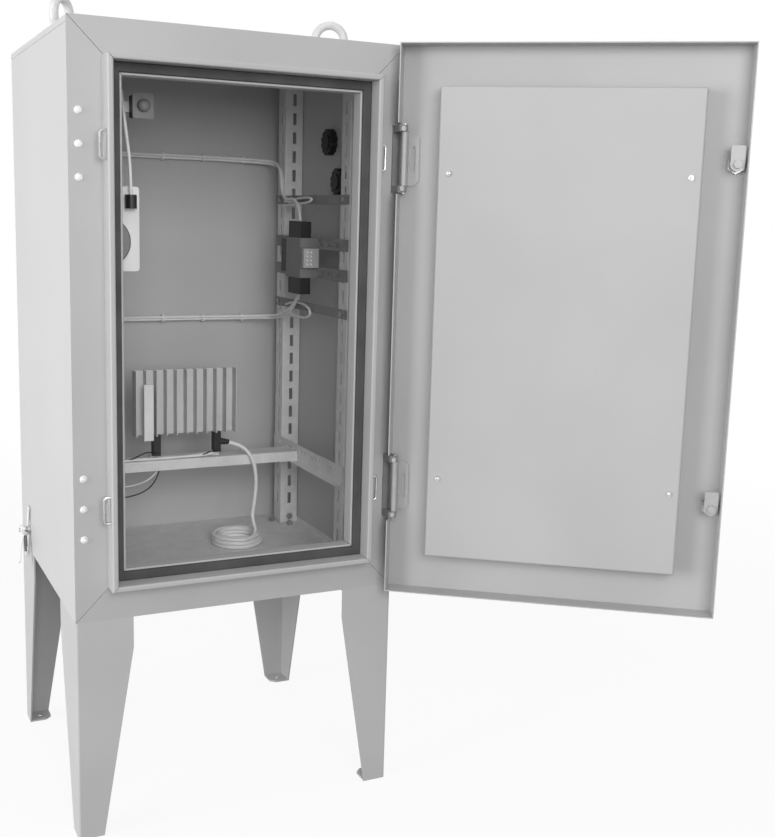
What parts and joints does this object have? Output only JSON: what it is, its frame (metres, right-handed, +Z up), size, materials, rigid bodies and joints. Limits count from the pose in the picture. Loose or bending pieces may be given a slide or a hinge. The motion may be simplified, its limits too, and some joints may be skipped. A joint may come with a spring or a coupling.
{
  "type": "roadside utility cabinet",
  "caption": "Grey sheet-steel roadside cabinet on four tapered legs, door swung open on its right-hand hinges, with mounting frame, heater and controller inside.",
  "frame": {"origin": "on the floor under the middle of the body", "axes": "+Z up, +X to the right seen from the front, -Y towards the front"},
  "size_m": [1.1017, 0.943, 1.471],
  "materials": {
    "body_paint": "satin",
    "frame_paint": "satin",
    "leg_paint": "satin",
    "door_paint": "satin",
    "panel_paint": "satin",
    "gasket_rubber": "matte",
    "hinge_zinc": "satin",
    "stainless_steel": "satin",
    "lock_zinc": "satin",
    "eye_zinc": "satin",
    "galvanised_steel": "satin",
    "heater_aluminium": "satin",
    "dark_steel": "satin",
    "black_plastic": "matte",
    "grey_plastic": "matte",
    "white_plastic": "matte",
    "cable_white": "matte",
    "strap_white": "matte"
  },
  "bodies": {
    "cabinet": {"cable_coil": "cable_white", "cable_ties": "white_plastic", "control_arm": "galvanised_steel", "control_base": "black_plastic", "control_plate": "grey_plastic", "cross_beam": "galvanised_steel", "device_arms": "galvanised_steel", "device_body": "grey_plastic", "device_plate": "dark_steel", "device_terminals": "black_plastic", "door_gasket": "gasket_rubber", "earth_bolt": "stainless_steel", "earth_strap": "strap_white", "eye_nuts": "stainless_steel", "fixed_cables": "cable_white", "floor_pan": "galvanised_steel", "frame_screws": "stainless_steel", "front_rail_bottom": "frame_paint", "front_rail_top": "frame_paint", "front_stile_left": "frame_paint", "front_stile_right": "frame_paint", "grommet": "black_plastic", "hanging_cable": "cable_white", "heater_body": "heater_aluminium", "heater_feet": "galvanised_steel", "heater_strip": "white_plastic", "heater_terminals": "black_plastic", "hinge_frame_leaves": "hinge_zinc", "hinge_pins": "stainless_steel", "junction_arm": "galvanised_steel", "junction_box": "white_plastic", "junction_cover": "grey_plastic", "keepers": "stainless_steel", "leg_back_left": "leg_paint", "leg_back_right": "leg_paint", "leg_bolts": "stainless_steel", "leg_front_left": "leg_paint", "leg_front_right": "leg_paint", "lifting_eye_left": "eye_zinc", "lifting_eye_right": "eye_zinc", "mounting_bolts": "stainless_steel", "roof": "body_paint", "side_angles": "galvanised_steel", "side_strips": "galvanised_steel", "side_wrap": "body_paint", "upright_back_left": "galvanised_steel", "upright_back_right": "galvanised_steel", "upright_brackets": "galvanised_steel", "upright_front_left": "galvanised_steel", "upright_front_right": "galvanised_steel", "vent_nuts": "black_plastic", "vent_plugs": "black_plastic"},
    "door": {"door_skin": "door_paint", "door_inner_panel": "panel_paint", "door_fasteners": "stainless_steel", "hinge_door_leaves": "galvanised_steel", "lock_housings": "lock_zinc"},
    "upper_lock": {"lock_cam_upper": "lock_zinc"},
    "lower_lock": {"lock_cam_lower": "lock_zinc"},
    "knob": {"control_knob": "grey_plastic"}
  },
  "joints": [
    {"name": "door_hinge", "type": "hinge", "parent": "cabinet", "child": "door", "pos_m": [0.29, -0.302, 0.9], "axis": [0, 0, 1], "range_deg": [-144, 0]},
    {"name": "upper_lock_turn", "type": "hinge", "parent": "door", "child": "upper_lock", "pos_m": [0.74884, -0.64463, 1.201], "axis": [-0.5878, -0.809, 0], "range_deg": [0, 90]},
    {"name": "lower_lock_turn", "type": "hinge", "parent": "door", "child": "lower_lock", "pos_m": [0.74884, -0.64463, 0.599], "axis": [-0.5878, -0.809, 0], "range_deg": [0, 90]},
    {"name": "knob_turn", "type": "hinge", "parent": "cabinet", "child": "knob", "pos_m": [-0.1435, -0.15, 1.2785], "axis": [0, -1, 0], "range_deg": [-135, 135]}
  ]
}
